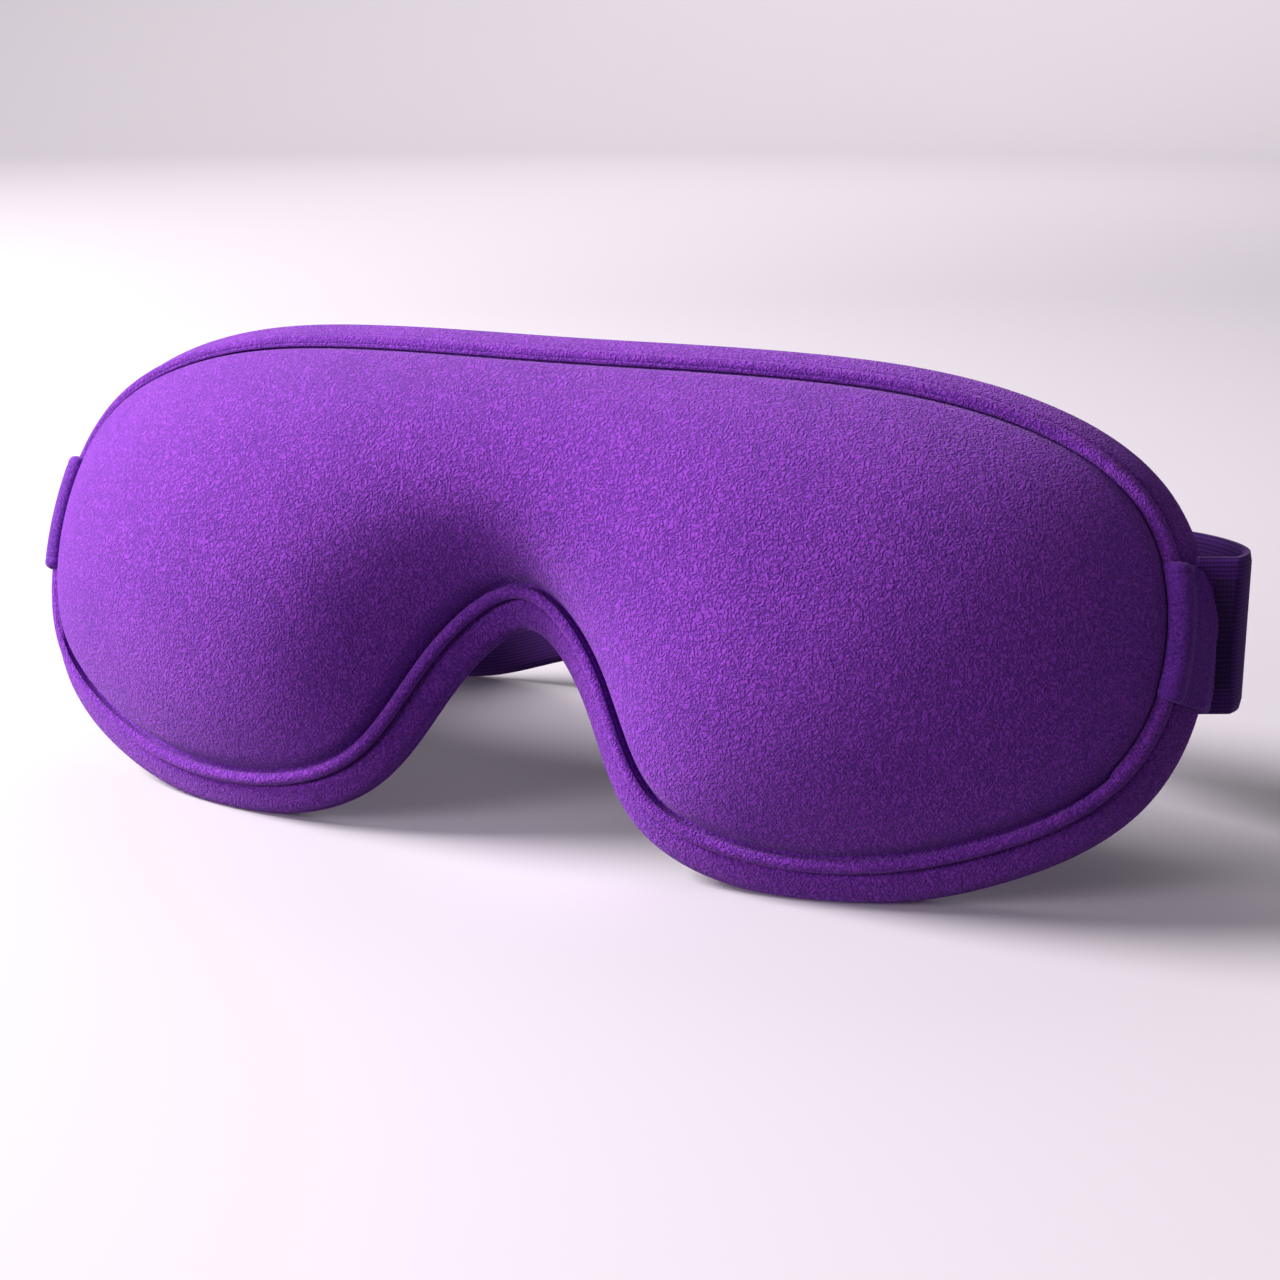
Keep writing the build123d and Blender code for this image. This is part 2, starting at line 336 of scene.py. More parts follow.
def dome_height():
    """The height of a skin held at the groove, pushed out by the foam and pulled level by itself."""
    quads = np.array(disc_faces)
    triangles = np.concatenate([quads[:, [0, 1, 2]], quads[:, [0, 2, 3]]])
    pull_from, pull_to, pull = [], [], []
    mass = np.zeros(len(disc_points))
    for k in range(3):
        a, b, c = triangles[:, k], triangles[:, (k + 1) % 3], triangles[:, (k + 2) % 3]
        one, two = disc_points[a] - disc_points[c], disc_points[b] - disc_points[c]
        area = np.abs(one[:, 0] * two[:, 1] - one[:, 1] * two[:, 0]) + 1e-9
        weight = np.clip((one * two).sum(1) / area / 2, -2, 4)
        pull_from += [a, b]
        pull_to += [b, a]
        pull += [weight, weight]
        np.add.at(mass, c, area / 6)
    pull_from, pull_to = np.concatenate(pull_from), np.concatenate(pull_to)
    pull = np.concatenate(pull)
    free = np.ones(len(disc_points), bool)
    free[:RING_COUNT] = False
    size = len(disc_points)

    def push(height):
        flow = np.bincount(pull_from, pull * (height[pull_from] - height[pull_to]), size)
        return (DOME_SPREAD**2 * flow + mass * height) * free

    height = np.zeros(size)
    rest = mass * free
    heading = rest.copy()
    error = rest @ rest
    for _ in range(900):
        pushed = push(heading)
        step = error / (heading @ pushed)
        height += step * heading
        rest = rest - step * pushed
        new_error = rest @ rest
        if new_error < 1e-12 * (mass @ mass):
            break
        heading = rest + new_error / error * heading
        error = new_error
    return DOME_HEIGHT * height / height.max()


dome = dome_height()


def front_z():
    """The dome with the groove at its edge."""
    dip = GROOVE_DIP * np.exp(-((disc_inside / 0.8) ** 2))
    return wrap(disc_points[:, 0]) + dome - dip


CUP_X, CUP_Y, CUP_WIDE, CUP_TALL, CUP_DEEP = 47.0, 4.0, 34.0, 25.0, 20.0


def back_z():
    """The face that lies on the wearer, with two eye cups and a soft lip round each."""
    x, y = disc_points[:, 0], disc_points[:, 1]
    reach = np.hypot((np.abs(x) - CUP_X) / CUP_WIDE, (y - CUP_Y) / CUP_TALL)
    hollow = np.clip(1 - reach**2, 0, 1)
    cup = CUP_DEEP * hollow**2 * (3 - 2 * hollow)
    lip = 0.8 * np.exp(-(((reach - 1.05) / 0.12) ** 2))
    return wrap(x) + CONTACT_Z + cup - lip


# ---------------------------------------------------------------- the rim


def rim_angle(nx, ny, x):
    """How steeply the rim falls, in radians, by the way the outline faces; most at the temples."""
    temple = 6 * nx**2 * ease((np.abs(x) - 70) / 25)
    return np.radians(44 + 6 * np.maximum(ny, 0) - 6 * np.maximum(-ny, 0) + 5 * nx**2 + temple)


def from_rim(s, t, angle):
    """Distance down the rim and out from it, to distance past the groove and height."""
    return s * np.cos(angle) + t * np.sin(angle), -s * np.sin(angle) + t * np.cos(angle)


angles = rim_angle(normal[:, 0], normal[:, 1], outline[:, 0])


def rim_row(out, height):
    """A row of points round the outline, some way past the groove and at some height."""
    flat = outline + normal * np.broadcast_to(out, RING_COUNT)[:, None]
    level = wrap(flat[:, 0]) + height
    return np.column_stack([flat, level])


GROOVE_WALL = [(0.3, -2.1), (0.5, -1.75), (0.55, -1.2)]
RIM_PATH = [
    (0.95, -0.4),
    (1.9, -0.42),
    (2.9, -0.45),
    (3.35, -0.6),
    (3.62, -0.58),
    (3.82, -0.15),
    (4.1, 0.18),
    (4.5, 0.32),
    (5.1, 0.36),
    (5.8, 0.37),
    (6.8, 0.37),
    (7.7, 0.33),
    (8.4, 0.2),
    (9.0, -0.02),
    (9.45, -0.36),
    (9.75, -0.85),
    (9.88, -1.4),
]
SEAM_S, SEAM_T = RIM_PATH[-1]


def cover_piece():
    """One skin from the seam, up the rim and round the groove to the dome."""
    rows = []
    for s, t in RIM_PATH[::-1]:
        out, height = from_rim(s, t, angles)
        rows.append(rim_row(out, height))
    for out, height in GROOVE_WALL[::-1]:
        rows.append(rim_row(out, height))
    top = np.column_stack([disc_points, front_z()])
    vertices = np.concatenate(rows + [top])
    outer_faces = ring_faces(len(rows) + 1, RING_COUNT)
    shift = len(rows) * RING_COUNT
    inner_faces = [tuple(i + shift for i in quad) for quad in disc_faces]
    return vertices, outer_faces + inner_faces


def lining_piece():
    """The skin against the face, from the seam round the edge and over the eye cups."""
    out, height = from_rim(SEAM_S, SEAM_T, angles)
    rows = []
    turn = ((0.0, 0.0), (0.05, 0.14), (-0.2, 0.4), (-0.7, 0.66), (-1.6, 0.88), (-3.0, 1.0))
    for step, share in turn:
        rows.append(rim_row(out + step, height + (CONTACT_Z - height) * share))
    under = np.column_stack([disc_points, back_z()])
    vertices = np.concatenate(rows + [under])
    outer_faces = ring_faces(len(rows) + 1, RING_COUNT, flip=True)
    shift = len(rows) * RING_COUNT
    inner_faces = [tuple(i + shift for i in quad)[::-1] for quad in disc_faces]
    return vertices, outer_faces + inner_faces


def foam_piece():
    """The foam between cover and lining: both faces drawn in by their cloth."""
    deep = 1.2
    out, height = from_rim(SEAM_S, SEAM_T, angles)
    front_rows = [
        rim_row(out - deep - 0.4, height + 0.3),
        rim_row(out * 0.55, height * 0.62 - deep),
        rim_row(0.3, -GROOVE_DIP - deep),
    ]
    back_rows = [
        rim_row(out - deep - 0.6, height + (CONTACT_Z - height) * 0.6),
        rim_row(out * 0.4, CONTACT_Z + deep),
    ]
    top = np.column_stack([disc_points, front_z() - deep])
    under = np.column_stack([disc_points, np.minimum(back_z() + deep, front_z() - deep - 0.4)])
    front = np.concatenate(front_rows + [top])
    back = np.concatenate(back_rows + [under])
    faces = ring_faces(4, RING_COUNT)
    shift = 3 * RING_COUNT
    faces += [tuple(i + shift for i in quad) for quad in disc_faces]
    low = len(front)
    faces += ring_faces(3, RING_COUNT, first=low, flip=True)
    shift = low + 2 * RING_COUNT
    faces += [tuple(i + shift for i in quad)[::-1] for quad in disc_faces]
    for k in range(RING_COUNT):
        n = (k + 1) % RING_COUNT
        faces.append((k, n, low + n, low + k))
    return np.concatenate([front, back]), faces


BEAD_S, BEAD_HALF, BEAD_LOW = 2.1, 1.2, -0.34


def bead_piece():
    turns = np.linspace(0, pi, 15)
    profile = [(BEAD_S - BEAD_HALF * cos(a), -0.1 + BEAD_HALF * sin(a)) for a in turns]
    profile += [(BEAD_S + BEAD_HALF * 0.5, BEAD_LOW), (BEAD_S - BEAD_HALF * 0.5, BEAD_LOW)]
    rows = []
    for s, t in profile:
        out, height = from_rim(s, t, angles)
        rows.append(rim_row(out, height))
    return np.stack(rows, 1).reshape(-1, 3), tube_faces(RING_COUNT, len(profile), closed=True)


def binding_piece():
    """A slim turned edge over the seam, standing a little proud of both cloths."""
    out, height = from_rim(SEAM_S, SEAM_T, angles)
    rows = []
    for turn in np.linspace(0, 2 * pi, 14, endpoint=False):
        rows.append(rim_row(out + 0.08 + 0.42 * cos(turn), height - 0.1 + 0.75 * sin(turn)))
    return np.stack(rows, 1).reshape(-1, 3), tube_faces(RING_COUNT, 14, closed=True)


# ---------------------------------------------------------------- tabs, felt and straps


def edge_roll(distance, radius):
    """How far a cloth edge turns down, by the distance from its border."""
    left = np.clip(radius - distance, 0, radius)
    return radius - np.sqrt(radius**2 - left**2)


TAB_LOW, TAB_HIGH = -3.0, 17.8
TAB_FAN = 0.4
TAB_END_X = 113.3
FELT_PROUD = 0.6
RIB_PITCH, RIB_DEPTH = 0.92, 0.12
TAB_BACK_REACH, TAB_RUN, TAB_COLUMNS = 5.0, 26, 60
FELT_LOW, FELT_HIGH, FELT_ROWS = -1.5, 12.5, 90
TAB_PATH = [
    (0.5, -0.35),
    (0.55, 0.6),
    (0.9, 1.45),
    (1.45, 1.92),
    (2.1, 2.02),
    (2.8, 1.8),
    (3.4, 1.36),
    (3.9, 1.2),
    (5.2, 1.28),
    (7.2, 1.28),
    (8.5, 1.16),
    (9.3, 0.8),
    (9.75, 0.25),
]


def temple_line(low, high, count):
    """The right end of the outline between two heights, with its normals."""
    chosen = (outline[:, 0] > 60) & (outline[:, 1] > low - 3) & (outline[:, 1] < high + 3)
    x, y = outline[chosen, 0], outline[chosen, 1]
    order = np.argsort(y)
    level = np.linspace(low, high, count)
    spots = np.column_stack([np.interp(level, y[order], x[order]), level])
    facing = np.column_stack(
        [np.interp(level, y[order], normal[chosen][order, k]) for k in (0, 1)]
    )
    facing = TAB_FAN * facing + (1 - TAB_FAN) * np.array([1.0, 0.0])
    return spots, facing / np.linalg.norm(facing, axis=1, keepdims=True)


def tab_sheet(raise_by):
    """Rows across a tab, from over the bead to the back of the pad, in pad millimetres."""
    count = int((TAB_HIGH - TAB_LOW) / RIB_PITCH * 8)
    spots, facing = temple_line(TAB_LOW, TAB_HIGH, count)
    rows = []
    for spot, face in zip(spots, facing):
        angle = rim_angle(face[0], face[1], spot[0])
        profile = [from_rim(s, t, angle) for s, t in TAB_PATH]
        edge = profile[-1][0] + 0.12
        profile += [(edge, -9.2), (edge, -11.0), (edge - 0.35, -11.75), (edge - 1.2, -12.05)]
        profile += [(edge - TAB_BACK_REACH, -12.1)]
        profile = evenly(np.array(profile), TAB_COLUMNS)
        tangents = directions(profile)
        outs = np.column_stack([-tangents[:, 1], tangents[:, 0]])
        along = np.linspace(0, TAB_RUN, TAB_COLUMNS)
        border = min(spot[1] - TAB_LOW, TAB_HIGH - spot[1])
        down = edge_roll(border, 0.55) + edge_roll(along, 0.5)
        rib = RIB_DEPTH * cos(2 * pi * (spot[1] - TAB_LOW) / RIB_PITCH)
        rib = rib * ease((border - 1.5) / 0.5) * ease((along - 5.4) / 0.8)
        seam = 0.16 * np.exp(-(((border - 1.25) / 0.22) ** 2))
        profile = profile + outs * (raise_by - down + rib - seam)[:, None]
        x = spot[0] + face[0] * profile[:, 0]
        x = x + (TAB_END_X - spot[0] - face[0] * edge) * ease((profile[:, 0] - 1.8) / (edge - 1.8))
        y = spot[1] + face[1] * profile[:, 0]
        rows.append(np.column_stack([x, y, wrap(x) + profile[:, 1]]))
    return np.array(rows)


def tab_piece(side):
    rows = tab_sheet(0.0)
    rows[..., 0] *= side
    return rows.reshape(-1, 3), grid_faces(rows.shape[0], rows.shape[1])


def felt_piece(side):
    """A brushed strip between the tab and the strap, just showing past the tab."""
    spots, facing = temple_line(FELT_LOW, FELT_HIGH, FELT_ROWS)
    rows = []
    for k, (spot, face) in enumerate(zip(spots, facing)):
        angle = rim_angle(face[0], face[1], spot[0])
        edge = from_rim(*TAB_PATH[-1], angle)[0]
        frayed = edge + 0.14 * sin(k * 1.7) * cos(k * 0.61)
        profile = np.array(
            [
                (edge - 4.8, -12.15),
                (edge - 0.3, -12.15),
                (frayed, -12.3),
                (frayed, -12.75),
                (edge - 0.3, -12.95),
                (edge - 4.8, -12.95),
            ]
        )
        x = TAB_END_X + profile[:, 0] - edge + FELT_PROUD
        y = spot[1] + face[1] * profile[:, 0]
        rows.append(np.column_stack([x * side, y, wrap(x) + profile[:, 1]]))
    return np.concatenate(rows), tube_faces(FELT_ROWS, len(profile))


def ribbon(line, foot, height, thickness, roundness=0.3, columns=18):
    """A band standing on edge along a plan line. Returns plan points, quads and a lay of cloth."""
    line = np.asarray(line, float)
    heading = directions(line)
    side = np.column_stack([-heading[:, 1], heading[:, 0]])
    foot = np.broadcast_to(foot, len(line))
    steps = np.concatenate([[0], np.cumsum(np.linalg.norm(np.diff(line, axis=0), axis=1))])
    half = thickness / 2
    level = np.linspace(0, height, columns)
    pinch = half - edge_roll(np.minimum(level, height - level), min(roundness, half * 0.9))
    loop_level = np.concatenate([level, level[::-1]])
    loop_side = np.concatenate([pinch, -pinch[::-1]])
    vertices, lay = [], []
    for k, spot in enumerate(line):
        flat = spot + side[k] * loop_side[:, None]
        vertices.append(np.column_stack([flat, foot[k] + loop_level]))
        lay.append(np.column_stack([np.full(len(loop_level), steps[k]), loop_level]))
    faces = tube_faces(len(line), 2 * columns)
    return np.concatenate(vertices), faces, np.concatenate(lay) * 0.1


def capsules(centres, axes, length, radius):
    """Small rounded stitches, each along its own axis, in one mesh."""
    around, rows = 8, 7
    vertices, faces = [], []
    for centre, axis in zip(centres, axes):
        axis = np.asarray(axis, float) / np.linalg.norm(axis)
        helper = np.array([0, 0, 1.0]) if abs(axis[2]) < 0.9 else np.array([1.0, 0, 0])
        one = np.cross(axis, helper)
        one /= np.linalg.norm(one)
        two = np.cross(axis, one)
        first = len(vertices)
        vertices.append(centre - axis * length / 2)
        for turn in np.linspace(0, pi, rows + 2)[1:-1]:
            reach = -cos(turn) * length / 2
            wide = radius * sin(turn) ** 0.5
            for a in np.linspace(0, 2 * pi, around, endpoint=False):
                vertices.append(centre + axis * reach + wide * (one * cos(a) + two * sin(a)))
        vertices.append(centre + axis * length / 2)
        last = len(vertices) - 1
        for k in range(around):
            n = (k + 1) % around
            faces.append((first, first + 1 + n, first + 1 + k))
            for r in range(rows - 1):
                here = first + 1 + r * around
                faces.append((here + k, here + n, here + around + n, here + around + k))
            end = first + 1 + (rows - 1) * around
            faces.append((end + k, end + n, last))
    return np.array(vertices), faces


# ---------------------------------------------------------------- materials


class Nodes:
    """Short calls for building one material's node tree."""

    def __init__(self, name):
        self.material = bpy.data.materials.new(name)
        self.material.use_nodes = True
        self.tree = self.material.node_tree
        self.shader = next(n for n in self.tree.nodes if n.type == "BSDF_PRINCIPLED")

    def add(self, kind, inputs=None, **settings):
        node = self.tree.nodes.new(kind)
        for key, value in settings.items():
            setattr(node, key, value)
        for key, value in (inputs or {}).items():
            if isinstance(value, bpy.types.NodeSocket):
                self.tree.links.new(value, node.inputs[key])
            else:
                node.inputs[key].default_value = value
        return node

    def maths(self, operation, a, b=0.0, clamp=False):
        node = self.add("ShaderNodeMath", {0: a, 1: b}, operation=operation, use_clamp=clamp)
        return node.outputs[0]

    def noise(self, scale, detail=2.0, distortion=0.0, vector=None, roughness=0.5):
        inputs = {"Scale": scale, "Detail": detail, "Distortion": distortion}
        inputs["Roughness"] = roughness
        if vector is not None:
            inputs["Vector"] = vector
        return self.add("ShaderNodeTexNoise", inputs).outputs["Fac"]

    def ramp(self, value, stops):
        node = self.add("ShaderNodeValToRGB", {"Fac": value})
        elements = node.color_ramp.elements
        while len(elements) < len(stops):
            elements.new(0.5)
        for element, (place, colour) in zip(elements, stops):
            element.position = place
            element.color = (*colour, 1)
        return node.outputs["Color"]

    def bump(self, height, distance, strength=1.0, under=None):
        inputs = {"Height": height, "Distance": distance, "Strength": strength}
        if under is not None:
            inputs["Normal"] = under
        return self.add("ShaderNodeBump", inputs).outputs["Normal"]

    def link(self, output, socket):
        self.tree.links.new(output, self.shader.inputs[socket])


def cloth(name, deep, light, pebble=0.74, rise=0.21, fuzz=0.12):
    """Brushed microfibre: short worm-like pebbles under a fine nap."""
    nodes = Nodes(name)
    place = nodes.add("ShaderNodeTexCoord").outputs["Object"]
    worms = nodes.noise(1000 / pebble, 1.0, 0.5, place, 0.4)
    ridge = nodes.maths("ABSOLUTE", nodes.maths("SUBTRACT", worms, 0.5))
    ridge = nodes.maths("MULTIPLY", ridge, 6.5, clamp=True)
    nap = nodes.noise(2900, 2, 0.0, place, 0.65)
    broad = nodes.noise(60, 3, 0.4, place, 0.55)
    # The colour follows the pebble ridges of the bump: the tops are painted lighter and the hollows darker,
    # a painted highlight and painted shade; the nap and broad noise add random tone.
    mixed = nodes.maths("MULTIPLY", ridge, 0.22)
    mixed = nodes.maths("ADD", mixed, nodes.maths("MULTIPLY", nap, 0.7))
    mixed = nodes.maths("ADD", mixed, nodes.maths("MULTIPLY", broad, 0.16))
    colour = nodes.ramp(mixed, [(0.34, deep), (0.84, light)])
    nodes.link(colour, "Base Color")
    under = nodes.bump(ridge, rise * MM, 0.75)
    nodes.link(nodes.bump(nap, fuzz * MM, 0.8, under), "Normal")
    finish_cloth(nodes, 0.92, 0.3)
    return nodes.material


def finish_cloth(nodes, rough, sheen):
    nodes.shader.inputs["Roughness"].default_value = rough
    nodes.shader.inputs["Specular IOR Level"].default_value = 0.18
    nodes.shader.inputs["Sheen Weight"].default_value = sheen
    nodes.shader.inputs["Sheen Roughness"].default_value = 0.45
    nodes.shader.inputs["Sheen Tint"].default_value = (0.72, 0.42, 0.95, 1)


def webbing(name, deep, light, rib, rise, sheen=0.25):
    """Woven elastic or pile tape: fine ribs along the band, crossed by its weft."""
    nodes = Nodes(name)
    lay = nodes.add("ShaderNodeUVMap", uv_map="lay").outputs[0]
    split = nodes.add("ShaderNodeSeparateXYZ", {0: lay})
    waves = []
    for axis, pitch in (("Y", rib), ("X", rib * 0.8)):
        turns = nodes.maths("MULTIPLY", split.outputs[axis], 2 * pi * 10 / pitch)
        waves.append(nodes.maths("SINE", turns))
    weave = nodes.maths("MULTIPLY", waves[1], 0.35)
    weave = nodes.maths("ADD", waves[0], weave)
    weave = nodes.maths("MULTIPLY", nodes.maths("ADD", weave, 1.35), 0.37)
    place = nodes.add("ShaderNodeTexCoord").outputs["Object"]
    nap = nodes.noise(3600, 3, 0.0, place, 0.6)
    mixed = nodes.maths("ADD", nodes.maths("MULTIPLY", weave, 0.6), nodes.maths("MULTIPLY", nap, 0.5))
    nodes.link(nodes.ramp(mixed, [(0.2, deep), (0.9, light)]), "Base Color")
    under = nodes.bump(weave, rise * MM, 0.8)
    nodes.link(nodes.bump(nap, 0.04 * MM, 0.7, under), "Normal")
    finish_cloth(nodes, 0.85, sheen)
    return nodes.material


def foam_material():
    nodes = Nodes("moulded_foam")
    place = nodes.add("ShaderNodeTexCoord").outputs["Object"]
    cells = nodes.add("ShaderNodeTexVoronoi", {"Vector": place, "Scale": 2200.0}).outputs["Distance"]
    nodes.link(nodes.ramp(cells, [(0.1, (0.01, 0.009, 0.013)), (0.7, (0.05, 0.045, 0.06))]), "Base Color")
    nodes.link(nodes.bump(cells, 0.1 * MM, 0.7), "Normal")
    nodes.shader.inputs["Roughness"].default_value = 0.95
    return nodes.material


MATERIALS = {
    "cover_fabric": cloth("brushed_microfibre", (0.085, 0.014, 0.235), (0.35, 0.062, 0.62)),
    "lining_fabric": cloth("soft_knit", (0.04, 0.008, 0.11), (0.13, 0.03, 0.28), pebble=0.6, rise=0.1),
    "tab_fabric": cloth("ribbed_microfibre", (0.07, 0.012, 0.2), (0.25, 0.05, 0.52), pebble=0.6, rise=0.06),
    "felt": cloth("brushed_felt", (0.05, 0.01, 0.14), (0.18, 0.05, 0.36), pebble=0.5, rise=0.25, fuzz=0.2),
    "elastic": webbing("woven_elastic", (0.02, 0.004, 0.065), (0.1, 0.02, 0.23), 0.7, 0.035),
    "loop_pile": webbing("loop_pile", (0.012, 0.003, 0.032), (0.05, 0.012, 0.12), 0.85, 0.25),
    "hook_nylon": webbing("hook_nylon", (0.012, 0.003, 0.03), (0.045, 0.012, 0.1), 0.5, 0.3, 0.1),
    "thread": cloth("sewing_thread", (0.1, 0.02, 0.27), (0.34, 0.08, 0.66), pebble=0.3, rise=0.05),
    "foam": foam_material(),
}


def dress(obj, slot, body, *nodes):
    """Give a piece the material of its slot, put it on its body, and hide the CAD nodes that it stands for.
    """
    obj.data.materials.clear()
    obj.data.materials.append(MATERIALS[slot])
    if body:
        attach(obj, body)
    if nodes:
        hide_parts(*nodes)
    return obj


# ---------------------------------------------------------------- the pad's pieces

PAD_CLOTH, TAB_CLOTH = 0.7, 0.75
STITCH_PROUD, TAB_STITCH = 0.06, (0.72, 0.13)

vertices, faces = cover_piece()
cover = thicken(add_mesh("pad_cover", from_pad(vertices), faces), PAD_CLOTH)
dress(cover, "cover_fabric", "pad", "outer_cover")

vertices, faces = lining_piece()
lining = thicken(add_mesh("pad_lining", from_pad(vertices), faces), PAD_CLOTH)
dress(lining, "lining_fabric", "pad", "inner_lining")

vertices, faces = foam_piece()
foam = outward(add_mesh("pad_foam", from_pad(vertices), faces))
dress(foam, "foam", "pad", "foam_core")

vertices, faces = bead_piece()
bead = outward(add_mesh("rim_beading", from_pad(vertices), faces))
dress(bead, "cover_fabric", "pad", "rim_bead")

vertices, faces = binding_piece()
binding = outward(add_mesh("rim_binding", from_pad(vertices), faces))
dress(binding, "cover_fabric", "pad", "edge_binding")

for word, side in (("right", 1), ("left", -1)):
    vertices, faces = tab_piece(side)
    if side < 0:
        faces = [quad[::-1] for quad in faces]
    tab = add_mesh(f"{word}_end_tab", from_pad(vertices), [quad[::-1] for quad in faces])
    thicken(tab, TAB_CLOTH)
    dress(tab, "tab_fabric", "pad", f"{word}_tab")
    vertices, faces = felt_piece(side)
    felt = outward(add_mesh(f"{word}_felt_strip", from_pad(vertices), faces))
    dress(felt, "felt", "pad", f"{word}_felt")
    rows = tab_sheet(STITCH_PROUD)
    spots = from_pad(rows[8:-8:8, 20] * np.array([side, 1, 1])) / MM
    axes = np.gradient(spots, axis=0)
    vertices, faces = capsules(spots, axes, *TAB_STITCH)
    stitches = outward(add_mesh(f"{word}_stitch_row", vertices * MM, faces))
    dress(stitches, "thread", "pad", f"{word}_tab_stitches")

# ---------------------------------------------------------------- the right strap and closure

STRAP_FOOT, STRAP_WIDE, STRAP_THICK = 29.3, 26.5, 1.5
STRAP_MIDDLE = STRAP_FOOT + STRAP_WIDE / 2
SEWN_FLAT, SEWN_REACH = 6.0, 20.0
STITCH_PITCH, SEAM_STITCH = 2.4, (1.5, 0.2)
HEADING = radians(159)
RAY = np.array([cos(HEADING), sin(HEADING)])
OUT = np.array([RAY[1], -RAY[0]])
CLOSURE = np.array([107.0, 43.0])
CLOSURE_RUN = 52
ROOT = np.array([116.3, 28.4])
BEND = [ROOT, (117.0, 32.6), (113.2, 39.2), CLOSURE]


def beside(line, out):
    """A plan line moved sideways, away from the wearer's head."""
    heading = directions(line)
    return line + np.column_stack([heading[:, 1], -heading[:, 0]]) * out


def add_band(name, line, foot, height, thickness, sewn_at=None, **options):
    """A strap or tape in plan millimetres. A sewn end, if it has one, leans back with the pad."""
    vertices, faces, lay = ribbon(line, foot, height, thickness, **options)
    if sewn_at is not None:
        away = np.linalg.norm(vertices[:, :2] - sewn_at, axis=1)
        near = 1 - ease((away - SEWN_FLAT) / SEWN_REACH)
        vertices[:, 1] += (vertices[:, 2] - STRAP_MIDDLE) * near * tan(PAD_LEAN)
    return outward(add_mesh(name, from_plan(vertices), faces, uvs=lay))


def along_closure(start, stop, out, count=30):
    reach = np.linspace(start, stop, count)[:, None]
    return CLOSURE + RAY * reach + OUT * out


bend_line = smooth_curve(BEND, 60, ends=((0.4, 1), RAY))
tail = along_closure(0, CLOSURE_RUN, 0, 60)
root_run = np.linspace(ROOT - np.array([6.2, 2.8]), ROOT, 14)[:-1]
right_line = evenly(np.concatenate([root_run, bend_line, tail[1:]]), 150)
right_band = add_band("right_band", right_line, STRAP_FOOT, STRAP_WIDE, STRAP_THICK)
dress(right_band, "elastic", None, "right_strap")
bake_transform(right_band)

TAPE_FOOT, TAPE_WIDE, TAPE_THICK = STRAP_FOOT + 5.6, 18, 1.0
PATCH_FOOT, PATCH_WIDE, PATCH_THICK = STRAP_FOOT + 4.2, 19, 0.5

pile_line = beside(evenly(tail[6:], 100), 1.3)
pile = add_band("loop_strip", pile_line, TAPE_FOOT, TAPE_WIDE, TAPE_THICK, roundness=0.4)
dress(pile, "loop_pile", "right_strap", "loop_tape")
patch_line = beside(np.linspace(ROOT - np.array([3.4, 1.5]), ROOT - np.array([0.3, 0.15]), 24), 0.85)
patch = add_band("loop_patch", patch_line, PATCH_FOOT, PATCH_WIDE, PATCH_THICK, roundness=0.2)
dress(patch, "loop_pile", "pad")


def seam_rows(name, places, out, body, node):
    """Upright rows of lockstitch on the closure, as high as its tapes."""
    spots = []
    for place in places:
        for level in np.arange(TAPE_FOOT + 1.2, TAPE_FOOT + TAPE_WIDE - 0.6, STITCH_PITCH):
            spots.append((*(CLOSURE + RAY * place + OUT * out), level))
    spots = from_plan(np.array(spots)) / MM
    vertices, faces = capsules(spots, [(0, 0, 1)] * len(spots), *SEAM_STITCH)
    rows = outward(add_mesh(name, vertices * MM, faces))
    return dress(rows, "thread", body, node)


# Places along the closure from its front end, and how far out from the strap's middle
HOOK_PLACES, HOOK_OUT = (20, 46), 3.15
FLAP_PLACES, FLAP_OUT, FLAP_THICK = (13, 48.4), 4.4, 1.3
CUFF_PLACES, CUFF_THICK = (46.5, 52.2), 2.8
PEEL_PLACE, PEEL_OUT = 46.17, 5.1

seam_rows("loop_seam", (1.0, 51.0), 1.86, "right_strap", "loop_stitches")
hooks = add_band("hook_strip", along_closure(*HOOK_PLACES, HOOK_OUT), TAPE_FOOT, TAPE_WIDE, TAPE_THICK)
dress(hooks, "hook_nylon", "hook_tab", "hook_tape")
flap = add_band(
    "hook_flap", along_closure(*FLAP_PLACES, FLAP_OUT), STRAP_FOOT, STRAP_WIDE, FLAP_THICK
)
dress(flap, "tab_fabric", None, "hook_tab")
seam_spot = CLOSURE + RAY * PEEL_PLACE + OUT * PEEL_OUT
seam_spot = from_plan((*seam_spot, STRAP_MIDDLE))
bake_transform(flap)
seam_rows("hook_seam", (21.0, 45.0), PEEL_OUT, "hook_tab", "hook_stitches")
cuff_line = along_closure(*CUFF_PLACES, FLAP_OUT, 16)
cuff = add_band("end_cuff", cuff_line, STRAP_FOOT, STRAP_WIDE, CUFF_THICK, roundness=0.9)
dress(cuff, "elastic", "strap_end", "end_binding")
seam_rows("end_seam", (49.35,), 5.84, "strap_end", "end_stitches")

# ---------------------------------------------------------------- the long left strap

LEFT_ROOT = np.array([-110.5, 37.0])
LEFT_SEWN = np.array([-108.0, 33.0])
LEFT_JOIN = np.array([-104, 49])
elastic_start = CLOSURE + RAY * 51.0 + OUT * FLAP_OUT
left_line = smooth_curve(
    [elastic_start, (0, 77.5), (-54, 83), (-90, 64), LEFT_ROOT], 320, ends=(RAY, (-0.3, -1))
)
left_run = smooth_curve(
    [LEFT_ROOT, (-110.6, 34.4), (-108.4, 31.9), (-103.5, 30.4)], 24, ends=((-0.3, -1), (1, -0.26))
)[1:]
left_line = evenly(np.concatenate([left_line, left_run]), 330)
FEET = [(-116, 31.2), (-112, 30.5), (-84, 13.5), (-54, 0.15), (-33, 5.5), (0, 15.5)]
FEET += [(59, 29.3), (62, 29.3)]
feet_line = smooth_curve(FEET, 400, ends=((1, -0.1), (1, 0)))
left_feet = np.interp(left_line[:, 0], feet_line[:, 0], np.maximum(feet_line[:, 1], 0.1))
